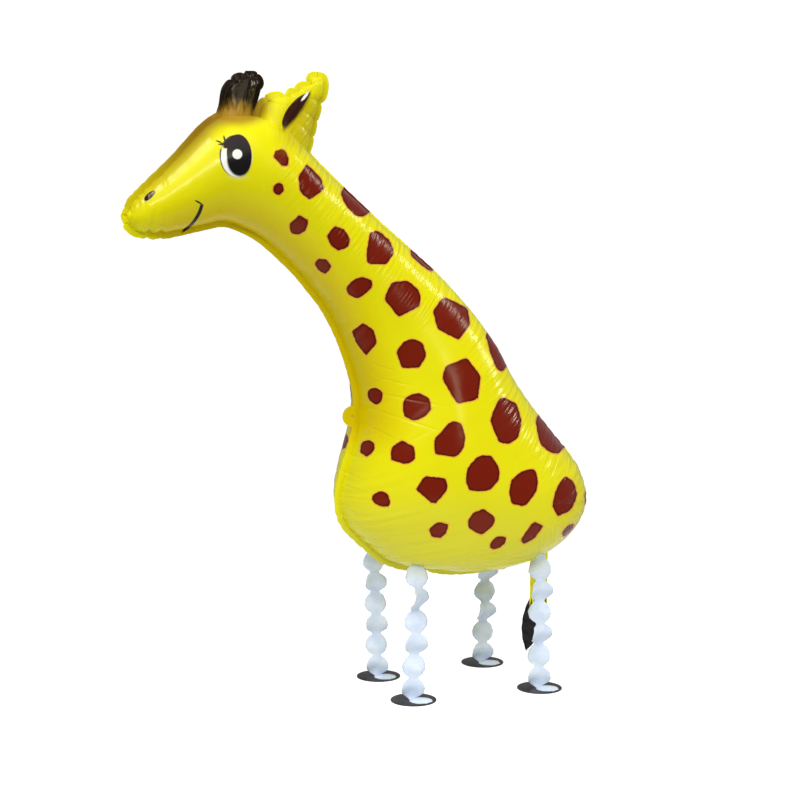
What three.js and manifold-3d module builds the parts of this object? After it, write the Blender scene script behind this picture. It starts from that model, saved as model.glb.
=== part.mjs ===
// A walking giraffe balloon: one inflated foil envelope that stands on four folded paper legs,
// each with a cardboard foot, and a flat foil tail. Millimetres, +Z up, the head towards -X.

import * as THREE from "three";
import { mergeVertices } from "three/addons/utils/BufferGeometryUtils.js";
import Module from "manifold-3d";

const wasm = await Module();
wasm.setup();

// The envelope
const balloonHeight = 734; // base line of the drawing, just under the belly, to the tip of the ear
const groundClearance = 159; // floor to the base line of the drawing
const seamWidth = 8; // the welded edge that runs all round the two foil sheets
const seamThickness = 1.6;
const tabRadius = 15; // hang tab on the throat seam
const tabHoleRadius = 2.25;
const gap = 0.3; // between touching pieces
const roundSides = 48; // facets round a disc

// The cardboard feet
const footRadius = 33;
const footThickness = 1.6;
const wheelbase = 190; // front feet to rear feet
const frontTrack = 140; // left foot to right foot
const rearTrack = 166;

// The paper legs, strips of round links folded at narrow necks
const paperThickness = 1;
const linkDiameter = 33;
const linkPitch = 32;
const neckWidth = 9;
const foldSwing = 9; // how far the folds swing forwards and back
const glueOffset = 14; // foot's centre to the middle of the link that is glued down on it
const legTuck = 8; // how far the top of a leg would reach into the belly before it is trimmed to it
const stepsPerLink = 8;
const neckTwist = 0.3; // the paper turns from one link to the next within this share of a link
const freeEndAt = 0.96; // the link on the foot stops at this share of its length, so its end is blunt

// The tail
const tailThickness = 1.2;
const tailLength = 158;
const tailWidth = 30;
const tuftWidth = 44;
const tailFromFeet = 143; // middle of the feet back to the middle of the tail
const tuftShare = 0.52; // of the tail's length, from where the strap widens to the tip
const tuftRearShare = 0.32; // of the tail's length, from where the rear edge turns in to the tip
const bladeCurve = 16; // how high above the tip the rear edge curves round

// Drawn shapes: the free form is drawn on a balloon of this height, and scaled from it.
// x is measured from the middle of the four feet and z from the base line under the belly.
const drawnHeight = 734;

// Head, neck and body from the muzzle to the belly: back edge x, z, front edge x, z, half depth.
const bodyStations = [
  [-494, 531, -494, 531, 0],
  [-485, 550, -490, 512, 17],
  [-468, 568, -471, 499, 29],
  [-447, 588, -440, 497, 38],
  [-424, 610, -409, 503, 46],
  [-404, 632, -379, 510, 54],
  [-382, 655, -351, 515, 62],
  [-358, 671, -325, 507, 69],
  [-328, 677, -304, 496, 75],
  [-296, 673, -286, 482, 78],
  [-265, 659, -268, 466, 80],
  [-238, 636, -250, 449, 80],
  [-213, 610, -232, 428, 79],
  [-171, 572, -212, 403, 77],
  [-121, 529, -192, 368, 77],
  [-71, 488, -176, 329, 83],
  [-20, 445, -163, 287, 92],
  [24, 399, -160, 247, 104],
  [58, 353, -168, 209, 117],
  [86, 307, -181, 171, 128],
  [122, 261, -190, 134, 136],
  [163, 213, -184, 94, 140],
  [203, 165, -153, 59, 139],
  [216, 110, -110, 31, 128],
  [192, 63, -54, 15, 102],
  [150, 30, 8, 5, 61],
  [84, 6, 84, 6, 0],
];

// Horn and ear, from the tip down into the head: rear edge x, z, front edge x, z, half depth.
const hornStations = [
  [-320, 729, -320, 729, 0],
  [-299, 724, -341, 718, 12],
  [-292, 708, -357, 697, 17],
  [-300, 686, -364, 671, 20],
  [-303, 664, -367, 645, 23],
  [-303, 630, -362, 610, 26],
];
const earStations = [
  [-212, 733, -212, 733, 0],
  [-199, 720, -231, 727, 9],
  [-201, 699, -249, 713, 15],
  [-208, 678, -270, 703, 20],
  [-214, 656, -290, 690, 24],
  [-220, 630, -305, 668, 30],
  [-235, 595, -312, 630, 36],
];
const hornPuckers = { pitch: 17, depth: 3 };
const earPuckers = { pitch: 36, depth: 7 };
const tabStation = 17.15; // place of the hang tab along the front edge
const tabShift = 2; // the tab's centre stands out from the edge by this

const mergeDistance = 1e-4;
const ringsPerStation = 3;
const sectionSides = 11;
const scale = balloonHeight / drawnHeight;

// Numbers read off a table of stations at any place along it, on a smooth curve.
function readStations(stations, place) {
  const last = stations.length - 1;
  const i = Math.min(Math.floor(place), last - 1);
  const u = place - i;
  const row = (k) => stations[THREE.MathUtils.clamp(k, 0, last)];
  return row(i).map((_, c) => {
    const before = i === 0 ? 2 * row(0)[c] - row(1)[c] : row(i - 1)[c];
    const after = i + 2 > last ? 2 * row(last)[c] - row(last - 1)[c] : row(i + 2)[c];
    const slopeIn = (row(i + 1)[c] - before) / 2;
    const slopeOut = (after - row(i)[c]) / 2;
    return (
      (2 * u ** 3 - 3 * u ** 2 + 1) * row(i)[c] +
      (u ** 3 - 2 * u ** 2 + u) * slopeIn +
      (3 * u ** 2 - 2 * u ** 3) * row(i + 1)[c] +
      (u ** 3 - u ** 2) * slopeOut
    );
  });
}

// The two edges of a lobe as real x and z, with its half depth, ring by ring from its first pole.
function makeLobe(stations, puckers) {
  const count = (stations.length - 1) * ringsPerStation;
  const rings = [];
  for (let k = 0; k <= count; k++) {
    const [ax, az, bx, bz, depth] = readStations(stations, k / ringsPerStation);
    rings.push({
      back: new THREE.Vector2(ax, az).multiplyScalar(scale),
      front: new THREE.Vector2(bx, bz).multiplyScalar(scale),
      depth: depth * scale,
    });
  }
  return { rings, puckers };
}

// How far the edge is drawn in at a length from the tip, between puckers where the seam bunches up.
function puckerDrop({ pitch, depth }, length) {
  return depth * (1 - Math.abs(Math.cos((Math.PI * length) / pitch)));
}

// Whether the two edges of a lobe run together at its far end too.
function meetsAtEnd(rings) {
  const end = rings[rings.length - 1];
  return end.back.distanceTo(end.front) < mergeDistance;
}

// The outline of a lobe as one loop, up its back edge and down its front edge, moved out by grow,
// and given back as the two edges.
function lobeEdges({ rings, puckers }, grow) {
  const back = rings.map((ring) => ring.back);
  const front = rings.map((ring) => ring.front);
  const last = rings.length - 1;
  const backEnd = meetsAtEnd(rings) ? last : last + 1;
  const loop = [...back.slice(0, backEnd), ...front.slice(1).reverse()];
  const steps = loop.map((point, i) => point.distanceTo(loop[(i + 1) % loop.length]));
  const total = steps.reduce((sum, step) => sum + step, 0);
  let length = 0;
  const moved = loop.map((point, i) => {
    const next = loop[(i + 1) % loop.length];
    const previous = loop[(i + loop.length - 1) % loop.length];
    const along = next.clone().sub(previous).normalize();
    const fromTip = Math.min(length, total - length);
    const out = grow - (puckers ? puckerDrop(puckers, fromTip) : 0);
    length += steps[i];
    return point.clone().add(new THREE.Vector2(-along.y, along.x).multiplyScalar(out));
  });
  return {
    back: back.map((_, i) => moved[i]),
    front: front.map((_, i) => moved[(loop.length - i) % loop.length]),
  };
}

function toWorld(point, y) {
  return new THREE.Vector3(point.x, y, point.y + groundClearance);
}

// An inflated lobe: rings that run out to the welded edge and arch over between its two sides.
function inflate(lobe, grow) {
  const { rings } = lobe;
  const outer = lobeEdges(lobe, grow);
  const inner = lobeEdges(lobe, grow - seamWidth);
  const half = seamThickness / 2 + grow;
  const positions = [];
  const put = (point, y) => positions.push(...toWorld(point, y).toArray());
  rings.forEach((ring, i) => {
    const middle = inner.back[i].clone().add(inner.front[i]).multiplyScalar(0.5);
    const reach = inner.back[i].clone().sub(middle);
    const arch = (side) => (j) => {
      const angle = (Math.PI * j) / sectionSides;
      const rise = (ring.depth + grow - half) * Math.sin(angle);
      put(middle.clone().addScaledVector(reach, Math.cos(angle)), side * (half + rise));
    };
    const places = Array.from({ length: sectionSides + 1 }, (_, j) => j);
    put(outer.back[i], half);
    places.forEach(arch(1));
    put(outer.front[i], half);
    put(outer.front[i], -half);
    places.reverse().forEach(arch(-1));
    put(outer.back[i], -half);
  });
  const around = 2 * sectionSides + 6;
  const last = (rings.length - 1) * around;
  const faces = [];
  for (let j = 0; j < around; j++) {
    const next = (j + 1) % around;
    for (let start = 0; start < last; start += around) {
      faces.push(start + j, start + around + j, start + next);
      faces.push(start + next, start + around + j, start + around + next);
    }
  }
  for (let j = 1; j < around / 2 && !meetsAtEnd(rings); j++) {
    const [a, b] = [last + j, last + around - 1 - j];
    faces.push(a - 1, b + 1, a, a, b + 1, b);
  }
  return indexed(positions, faces);
}

function indexed(positions, faces) {
  const geometry = new THREE.BufferGeometry();
  geometry.setAttribute("position", new THREE.Float32BufferAttribute(positions, 3));
  geometry.setIndex(faces);
  return geometry;
}

// A flat plate in the plane of the seam.
function plate(points, thickness) {
  const flat = new THREE.ExtrudeGeometry(new THREE.Shape(points), {
    depth: thickness,
    bevelEnabled: false,
  });
  return flat.rotateX(Math.PI / 2).translate(0, thickness / 2, groundClearance);
}

function toSolid(geometry) {
  const bare = geometry.clone();
  bare.deleteAttribute("normal");
  bare.deleteAttribute("uv");
  const merged = mergeVertices(bare, mergeDistance);
  const index = merged.index.array;
  const triVerts = [];
  for (let i = 0; i < index.length; i += 3) {
    const corners = index.slice(i, i + 3);
    if (new Set(corners).size === 3) triVerts.push(...corners);
  }
  return new wasm.Manifold(
    new wasm.Mesh({
      numProp: 3,
      vertProperties: new Float32Array(merged.attributes.position.array),
      triVerts: new Uint32Array(triVerts),
    }),
  );
}

function toGeometry(solid) {
  const mesh = solid.getMesh();
  const geometry = new THREE.BufferGeometry();
  geometry.setAttribute("position", new THREE.BufferAttribute(mesh.vertProperties, 3));
  geometry.setIndex(new THREE.BufferAttribute(mesh.triVerts, 1));
  geometry.computeVertexNormals();
  return geometry;
}

const bodyLobe = makeLobe(bodyStations);
const hornLobe = makeLobe(hornStations, hornPuckers);
const earLobe = makeLobe(earStations, earPuckers);

// The whole envelope, moved out by grow: body, horn and ear, with the seam round them.
function envelope(grow) {
  const lobes = [bodyLobe, hornLobe, earLobe].map((lobe) => toSolid(inflate(lobe, grow)));
  return lobes[0].add(lobes[1]).add(lobes[2]);
}

// The hang tab, a round ear on the seam with a hole through it.
function tabDisc(radius, thickness) {
  const edge = bodyLobe.rings.map((ring) => ring.front);
  const index = Math.round(tabStation * ringsPerStation);
  const along = edge[index + 1].clone().sub(edge[index - 1]).normalize();
  const outward = new THREE.Vector2(-along.y, along.x);
  const centre = toWorld(edge[index].clone().addScaledVector(outward, tabShift), 0);
  return new THREE.CylinderGeometry(radius, radius, thickness, roundSides).translate(
    centre.x,
    centre.y,
    centre.z,
  );
}

function foilBody() {
  const tab = toSolid(tabDisc(tabRadius, seamThickness));
  const hole = toSolid(tabDisc(tabHoleRadius, 4 * seamThickness));
  return envelope(0).add(tab).subtract(hole);
}

// A strip swept along its middle line, with a width and a width direction at each step.
function strip(steps, thickness) {
  const positions = [];
  const faces = [];
  steps.forEach(({ middle, across, width }, i) => {
    const ahead = steps[Math.min(i + 1, steps.length - 1)].middle.clone();
    const along = ahead.sub(steps[Math.max(i - 1, 0)].middle).normalize();
    const outward = along.clone().cross(across).normalize();
    const side = outward.clone().cross(along).normalize();
    for (const [u, v] of [[-1, -1], [1, -1], [1, 1], [-1, 1]]) {
      const corner = middle.clone();
      corner.addScaledVector(side, (u * width) / 2);
      corner.addScaledVector(outward, (v * thickness) / 2);
      positions.push(corner.x, corner.y, corner.z);
    }
  });
  const last = 4 * (steps.length - 1);
  faces.push(0, 2, 1, 0, 3, 2, last, last + 1, last + 2, last, last + 2, last + 3);
  for (let i = 0; i < steps.length - 1; i++) {
    for (let j = 0; j < 4; j++) {
      const a = 4 * i + j;
      const b = 4 * i + ((j + 1) % 4);
      faces.push(a, b, b + 4, a, b + 4, a + 4);
    }
  }
  return indexed(positions, faces);
}

function linkWidth(u) {
  const round = linkDiameter * Math.sqrt(Math.max(0, 1 - (2 * u - 1) ** 2));
  return Math.max(neckWidth, round);
}

// The direction that a link's width runs in, turning smoothly from link to link at the necks.
// The first turn is that of the link on the foot.
function facing(turns, place) {
  const angleOf = (k) => turns[THREE.MathUtils.clamp(k + 1, 0, turns.length - 1)];
  const neck = Math.round(place);
  const blend = THREE.MathUtils.smoothstep(place - neck, -neckTwist, neckTwist);
  const degrees = THREE.MathUtils.lerp(angleOf(neck - 1), angleOf(neck), blend);
  return THREE.MathUtils.degToRad(degrees);
}

// One paper leg: a link glued flat on the foot, then links that stand on each other up to the belly.
function paperLeg({ x, y, lean, turns }, topZ) {
  const steps = [];
  const layZ = footThickness + gap + paperThickness / 2;
  const first = THREE.MathUtils.degToRad(turns[0]);
  const layAcross = new THREE.Vector3(Math.cos(first), Math.sin(first), 0);
  const layAlong = new THREE.Vector3(layAcross.y, -layAcross.x, 0);
  const foldAt = new THREE.Vector3(x, y, layZ).addScaledVector(layAlong, glueOffset - linkPitch / 2);
  for (let k = stepsPerLink; k >= 1; k--) {
    const u = k / stepsPerLink;
    const middle = foldAt.clone().addScaledVector(layAlong, u * linkPitch);
    steps.push({ middle, across: layAcross, width: linkWidth(Math.min(u, freeEndAt)) });
  }
  const lastPlace = (topZ - layZ) / linkPitch;
  for (let k = 1; k / stepsPerLink < lastPlace; k++) {
    const place = k / stepsPerLink;
    const turn = facing(turns, place);
    const across = new THREE.Vector3(Math.cos(turn), Math.sin(turn), 0);
    const along = new THREE.Vector3(across.y, -across.x, 0);
    const swing = (foldSwing / 2) * (1 - Math.cos(Math.PI * place));
    const middle = foldAt.clone().addScaledVector(along, swing);
    middle.x += (lean * place) / lastPlace;
    middle.z = layZ + place * linkPitch;
    steps.push({ middle, across, width: linkWidth(place % 1) });
  }
  return strip(steps, paperThickness);
}

// The tail hangs from the seam under the rump: a strap that widens into a pointed tuft.
function tailPlate(tailTop) {
  const tip = tailTop - tailLength;
  const front = tailFromFeet - tailWidth / 2;
  const rear = tailFromFeet + tailWidth / 2;
  const bulge = tip + (tailLength * tuftShare) / 2;
  const shape = new THREE.Shape();
  shape.moveTo(front, tailTop);
  shape.lineTo(front, tip + tailLength * tuftShare);
  shape.quadraticCurveTo(front - tuftWidth / 2, bulge, rear - 0.75 * tuftWidth, tip);
  shape.quadraticCurveTo(rear - tuftWidth / 4, tip + bladeCurve, rear, tip + tailLength * tuftRearShare);
  shape.lineTo(rear, tailTop);
  return plate(shape.getPoints(10), tailThickness);
}

const yellowFoil = new THREE.MeshStandardMaterial({ color: 0xd9dc37, roughness: 0.25, metalness: 0.2 });
const whitePaper = new THREE.MeshStandardMaterial({ color: 0xd6e2ea, roughness: 0.9, metalness: 0 });
const blackCard = new THREE.MeshStandardMaterial({ color: 0x3a3b3f, roughness: 0.5, metalness: 0 });

const giraffe = new THREE.Group();

function addPiece(name, geometry, material) {
  const mesh = new THREE.Mesh(geometry, material);
  mesh.name = name;
  giraffe.add(mesh);
  return mesh;
}

// Each leg stands on its foot and leans a little to reach the belly. Its links turn by these angles,
// from the one on the foot upwards. The feet stand where they were put down, not quite square.
const legs = [
  {
    name: "front_right",
    x: 3 - wheelbase / 2,
    y: 3 + frontTrack / 2,
    lean: -6,
    turns: [25, -20, -30, -15, -25, -10, -40, -70],
  },
  {
    name: "front_left",
    x: -wheelbase / 2,
    y: 3 - frontTrack / 2,
    lean: 11,
    turns: [25, -20, -30, -10, -20, 50, 0, -50],
  },
  {
    name: "rear_right",
    x: -5 + wheelbase / 2,
    y: 3 + rearTrack / 2,
    lean: 10,
    turns: [25, -15, -30, 10, -35, 0, -30, -10],
  },
  {
    name: "rear_left",
    x: 7 + wheelbase / 2,
    y: 2 - rearTrack / 2,
    lean: 2,
    turns: [25, -20, -35, 5, -30, -5, -40, -15],
  },
];

const body = addPiece("foil_body", toGeometry(foilBody()), yellowFoil);
const clearOfBody = envelope(gap);
const bellyAbove = (x, y) => {
  const up = new THREE.Raycaster(new THREE.Vector3(x, y, 0), new THREE.Vector3(0, 0, 1));
  return up.intersectObject(body)[0].point.z;
};
for (const leg of legs) {
  const legTop = bellyAbove(leg.x + leg.lean, leg.y) + legTuck;
  const paper = toSolid(paperLeg(leg, legTop)).subtract(clearOfBody);
  addPiece("leg_" + leg.name, toGeometry(paper), whitePaper);
  const foot = new THREE.CylinderGeometry(footRadius, footRadius, footThickness, roundSides);
  const mesh = addPiece("foot_" + leg.name, foot, blackCard);
  mesh.rotation.x = Math.PI / 2;
  mesh.position.set(leg.x, leg.y, footThickness / 2);
}
const tail = toSolid(tailPlate(bellyAbove(tailFromFeet, 0) + seamWidth - groundClearance));
addPiece("tail", toGeometry(tail.subtract(clearOfBody)), yellowFoil);

// The origin is under the middle of the whole balloon, on the floor.
const box = new THREE.Box3().setFromObject(giraffe);
const centre = box.getCenter(new THREE.Vector3());
for (const mesh of giraffe.children) {
  mesh.position.x -= centre.x;
  mesh.position.y -= centre.y;
}

export default giraffe;
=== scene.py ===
# Walking giraffe balloon: a printed foil envelope on folded paper legs with card feet, and a
# foil tail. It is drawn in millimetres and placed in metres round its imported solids.
import bpy
import math
import numpy as np
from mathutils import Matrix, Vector


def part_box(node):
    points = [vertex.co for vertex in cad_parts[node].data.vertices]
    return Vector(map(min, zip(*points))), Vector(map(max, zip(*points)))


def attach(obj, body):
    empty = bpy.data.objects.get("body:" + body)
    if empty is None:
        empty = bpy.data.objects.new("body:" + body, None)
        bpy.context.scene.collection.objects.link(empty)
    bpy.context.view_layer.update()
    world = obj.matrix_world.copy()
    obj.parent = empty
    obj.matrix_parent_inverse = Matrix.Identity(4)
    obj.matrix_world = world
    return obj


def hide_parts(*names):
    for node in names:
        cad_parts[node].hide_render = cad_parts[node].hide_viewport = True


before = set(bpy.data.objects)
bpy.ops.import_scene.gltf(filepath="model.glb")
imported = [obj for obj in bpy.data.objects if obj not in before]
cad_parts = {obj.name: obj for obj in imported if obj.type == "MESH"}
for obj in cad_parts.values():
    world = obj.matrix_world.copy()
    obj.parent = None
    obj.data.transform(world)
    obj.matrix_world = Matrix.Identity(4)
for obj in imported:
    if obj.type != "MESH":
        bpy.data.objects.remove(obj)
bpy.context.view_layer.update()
print("frame loaded")

mm = 0.001
drawnFootX = -95  # the near front foot on the drawing
drawnFloor = -159  # the floor on the drawing
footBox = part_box("foot_front_left")
originX = (footBox[0].x + footBox[1].x) / 2 - drawnFootX * mm

photoView = {
    "azimuth": -25.1,
    "distance": 2.24,
    "height": 0.61,
    "turn": 2.06,
    "dip": 4.74,
    "lens": 68.4,
    "sensor": 36,
    "picture": 800,
}


def placeCamera(view):
    data = bpy.data.cameras.new("photo_camera")
    data.lens = view["lens"]
    data.sensor_width = view["sensor"]
    camera = bpy.data.objects.new("photo_camera", data)
    bpy.context.scene.collection.objects.link(camera)
    turned = math.radians(view["azimuth"])
    camera.location = (
        originX + math.sin(turned) * view["distance"],
        -math.cos(turned) * view["distance"],
        view["height"],
    )
    camera.rotation_euler = (math.radians(90 - view["dip"]), 0, turned + math.radians(view["turn"]))
    bpy.context.scene.camera = camera
    bpy.context.view_layer.update()
    return camera


camera = placeCamera(photoView)


# where points of the object fall on the picture, in its pixels from the upper left corner;
# both sides of the balloon carry the same print, so the far side is read as the near one
def onPicture(points):
    near = points.copy()
    near[:, 1] = -np.abs(near[:, 1])
    turned = np.array(camera.matrix_world.to_3x3())
    local = (near - np.array(camera.location)) @ turned
    focal = photoView["lens"] / photoView["sensor"] * photoView["picture"]
    half = photoView["picture"] / 2
    across = half + focal * local[:, 0] / -local[:, 2]
    down = half - focal * local[:, 1] / -local[:, 2]
    return np.stack([across, down], axis=1)


def putDown():
    if bpy.context.object and bpy.context.object.mode != "OBJECT":
        bpy.ops.object.mode_set(mode="OBJECT")
    bpy.ops.object.select_all(action="DESELECT")


def pickUp(piece):
    putDown()
    piece.select_set(True)
    bpy.context.view_layer.objects.active = piece


def applyAll(piece):
    pickUp(piece)
    for modifier in list(piece.modifiers):
        bpy.ops.object.modifier_apply(modifier=modifier.name)


def pointsOf(piece):
    flat = np.zeros(len(piece.data.vertices) * 3)
    piece.data.vertices.foreach_get("co", flat)
    return flat.reshape(-1, 3)


def movePoints(piece, points):
    piece.data.vertices.foreach_set("co", np.ascontiguousarray(points, dtype=float).ravel())
    piece.data.update()


# a flat sheet of small squares, bent so that its point (i, j) goes to points[i, j]
def bentSheet(name, points):
    long, wide = points.shape[:2]
    putDown()
    bpy.ops.mesh.primitive_grid_add(x_subdivisions=long - 1, y_subdivisions=wide - 1, size=2)
    piece = bpy.context.object
    piece.name = name
    piece.data.name = name
    flat = pointsOf(piece)
    i = np.rint((flat[:, 0] + 1) / 2 * (long - 1)).astype(int)
    j = np.rint((flat[:, 1] + 1) / 2 * (wide - 1)).astype(int)
    movePoints(piece, points[i, j])
    return piece


mergeDistance = 0.00001  # metres


def mergeAndFace(piece):
    pickUp(piece)
    bpy.ops.object.mode_set(mode="EDIT")
    bpy.ops.mesh.select_all(action="SELECT")
    bpy.ops.mesh.remove_doubles(threshold=mergeDistance)
    bpy.ops.mesh.normals_make_consistent(inside=False)
    bpy.ops.object.mode_set(mode="OBJECT")


def thicken(piece, thickness):
    skin = piece.modifiers.new("thickness", "SOLIDIFY")
    skin.thickness = thickness * mm
    skin.offset = 0
    applyAll(piece)
    mergeAndFace(piece)


# the seam welded round every lobe, and how folds and notches draw it in
weld = {
    "seamWidth": 8,
    "seamRim": 0.6,
    "foldsApart": 15,  # between the small folds of the outer edge
    "creaseShare": 0.7,  # of a notch's depth, carried into the sheet
    "notchWithin": 14,
    "tipCalm": 0.04,  # the share of a lobe at its tip where the folds die out
    "baseCalm": 0.02,
}
foldRange = {"wide": (0.16, 0.3), "deep": (0.25, 1), "apart": (0.6, 1.4)}  # as shares, drawn by chance

# the envelope's lobes: rows of [back x, back z, front x, front z, half depth] from each tip, and
# notches of [x, z, deep, wide] where the edge is drawn in between two scallops
body = {
    "seed": 3,
    "rings": 440,
    "across": 76,
    "rimHalf": 0.4,  # half of the seam's thickness
    "slim": 0.985,  # the share of the half depths that is kept
    "rows": [
        [-494, 531, -494, 531, 0],
        [-485, 550, -490, 512, 17],
        [-468, 568, -471, 499, 29],
        [-447, 588, -440, 497, 38],
        [-424, 610, -409, 503, 46],
        [-404, 632, -379, 510, 54],
        [-382, 655, -351, 515, 62],
        [-358, 671, -325, 507, 69],
        [-328, 677, -304, 496, 75],
        [-296, 673, -286, 482, 78],
        [-265, 659, -268, 466, 80],
        [-238, 636, -250, 449, 80],
        [-213, 610, -232, 428, 79],
        [-171, 572, -212, 403, 77],
        [-121, 529, -192, 368, 77],
        [-71, 488, -176, 329, 83],
        [-20, 445, -163, 287, 92],
        [24, 399, -160, 247, 104],
        [58, 353, -168, 209, 117],
        [86, 307, -181, 171, 128],
        [122, 261, -190, 134, 136],
        [163, 213, -184, 94, 140],
        [203, 165, -153, 59, 139],
        [216, 110, -112, 27, 128],
        [192, 63, -56, 11, 102],
        [150, 30, 8, 3, 61],
        [84, 6, 84, 6, 0],
    ],
    # how far apart, how deep and how far in the puckers run from the seam
    "puckers": [
        {"apart": 13, "deep": 0.85, "reach": 13},
        {"apart": 22, "deep": 0.75, "reach": 34},
        {"apart": 36, "deep": 0.6, "reach": 75},
    ],
    "wander": 0.8,  # how deep the small folds of the outer edge are
    # how strong the folds are, and how full the arch of the section is, from row to row
    "tightness": [[0, 1.7], [3, 1.2], [5, 0.4], [9, 0.4], [14, 0.9], [17, 0.9], [19, 1.1], [21, 1.9],
                  [23, 2.0], [26, 1.2]],
    "fullness": [[0, 1], [11, 1], [13.5, 0.76], [18, 0.76], [20, 0.95], [26, 1]],
    "notches": [[-487.4, 538.3, 2.6, 3], [-486, 518.4, 3, 3], [-459.5, 498, 3, 3.5], [-438.9, 498, 2.4, 3],
                [-46, 13, 4.5, 11]],
    "notchReach": 17,
    "follow": 1,  # how far the seam's inner line follows the folds of its outer edge
}
horn = {
    "seed": 8,
    "rings": 120,
    "across": 60,
    "rimHalf": 0.45,
    "slim": 1,
    "rows": [
        [-318, 729, -318, 729, 0],
        [-300, 728, -337, 722, 11],
        [-291, 713, -352, 704, 16],
        [-299, 692, -357, 680, 20],
        [-305, 664, -366, 650, 24],
        [-303, 630, -362, 610, 26],
    ],
    "fullness": [[0, 0.9], [5, 0.9]],
    "puckers": [{"apart": 14, "deep": 0.06, "reach": 7}],
    "wander": 0.3,
    "tightness": [[0, 1], [5, 1]],
    "notches": [[-340, 717, 3.4, 3], [-321, 727, 3, 3], [-299, 727, 2.6, 3], [-292, 701, 2, 5]],
    "notchReach": 8,
    "flutes": {"count": 3, "turned": 0.5, "deep": 1.8, "until": 3.6},
    "follow": 0.75,
}
ear = {
    "seed": 11,
    "rings": 130,
    "across": 50,
    "rimHalf": 0.5,
    "slim": 1,
    "rows": [
        [-213, 733, -213, 733, 0],
        [-201, 730, -225, 731, 8],
        [-196, 718, -236, 721, 13],
        [-198, 700, -250, 712, 16],
        [-206, 680, -270, 705, 20],
        [-213, 657, -294, 696, 24],
        [-220, 630, -307, 672, 30],
        [-235, 595, -312, 630, 36],
    ],
    "fullness": [[0, 0.9], [7, 0.9]],
    "puckers": [{"apart": 15, "deep": 0.3, "reach": 6}],
    "wander": 0.3,
    "tightness": [[0, 1], [7, 1]],
    "notches": [[-233, 722, 6.5, 3.5], [-249, 711, 4, 3], [-263, 704, 9, 4.5], [-291, 694, 4, 3.5],
                [-204, 687, 5, 5], [-214, 664, 3, 4], [-220, 643, 3, 4]],
    "notchReach": 6,
    "follow": 0.75,
}


# the rows of a lobe read at any places along it, on one smooth curve
def readRows(rows, places):
    rows = np.array(rows, float)
    last = len(rows) - 1
    i = np.minimum(places.astype(int), last - 1)
    u = (places - i)[:, None]
    longer = np.vstack([2 * rows[0] - rows[1], rows, 2 * rows[last] - rows[last - 1]])
    before, here, ahead, beyond = (longer[i + k] for k in range(4))
    return (
        (2 * u**3 - 3 * u**2 + 1) * here
        + (u**3 - 2 * u**2 + u) * (ahead - before) / 2
        + (3 * u**2 - 2 * u**3) * ahead
        + (u**3 - u**2) * (beyond - here) / 2
    )


def lengthAlong(line):
    steps = np.linalg.norm(np.diff(line, axis=0), axis=1)
    return np.concatenate([[0], np.cumsum(steps)])


# how much an edge is drawn in at each place, by folds at uneven distances
def foldsAlong(lengths, apart, deep, chance):
    drawnIn = np.zeros_like(lengths)
    at = chance.uniform(0, apart)
    while at < lengths[-1]:
        wide = apart * chance.uniform(*foldRange["wide"])
        drawnIn += deep * chance.uniform(*foldRange["deep"]) * np.exp(-(((lengths - at) / wide) ** 2))
        at += apart * chance.uniform(*foldRange["apart"])
    return drawnIn


def outwardOf(loop):
    along = np.roll(loop, -1, axis=0) - np.roll(loop, 1, axis=0)
    along /= np.maximum(np.linalg.norm(along, axis=1, keepdims=True), 1e-9)
    return np.stack([-along[:, 1], along[:, 0]], axis=1)


def readPairs(pairs, places):
    return np.interp(places, [pair[0] for pair in pairs], [pair[1] for pair in pairs])


# how much notches draw in a line of points, for those that are near it
def notchesAlong(line, lengths, notches):
    drawnIn = np.zeros(len(line))
    for x, z, deep, wide in notches:
        away = np.hypot(line[:, 0] - x, line[:, 1] - z)
        if away.min() < weld["notchWithin"]:
            drawnIn += deep * np.exp(-np.abs(lengths - lengths[away.argmin()]) / wide)
    return drawnIn


# the back and front edges of a lobe's sheet: the outer ones of the seam, and the inner ones
def seamEdges(lobe, back, front, tight, closed, chance):
    loop = np.vstack([back[: len(back) - closed], front[:0:-1]])
    outward = outwardOf(loop)
    lengths = lengthAlong(loop)
    drawn = foldsAlong(lengths, weld["foldsApart"], lobe["wander"], chance)
    drawn = drawn * np.concatenate([tight[: len(back) - closed], tight[:0:-1]])
    drawn = drawn + notchesAlong(loop, lengths, lobe["notches"])
    outer = loop - outward * drawn[:, None]
    inner = loop - outward * (drawn * lobe["follow"] + weld["seamWidth"])[:, None]
    order = (len(loop) - np.arange(len(front))) % len(loop)
    sides = []
    for line in (outer, inner):
        sides.append((line[np.arange(len(back)) % len(loop)], line[order]))
    return sides


# the sheet between its inner edges, arched over by the gas
def archedSheet(lobe, places, innerBack, innerFront, depth, angle):
    middle = (innerBack + innerFront) / 2
    reach = innerBack - middle
    points = np.zeros((len(places), len(angle), 3))
    points[:, :, 0] = middle[:, None, 0] + reach[:, None, 0] * np.cos(angle)
    points[:, :, 2] = middle[:, None, 1] + reach[:, None, 1] * np.cos(angle)
    full = readPairs(lobe["fullness"], places)[:, None]
    rise = np.maximum(depth - lobe["rimHalf"], 0)[:, None] * np.abs(np.sin(angle)) ** full
    points[:, :, 1] = -lobe["rimHalf"] - rise
    return points


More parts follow.
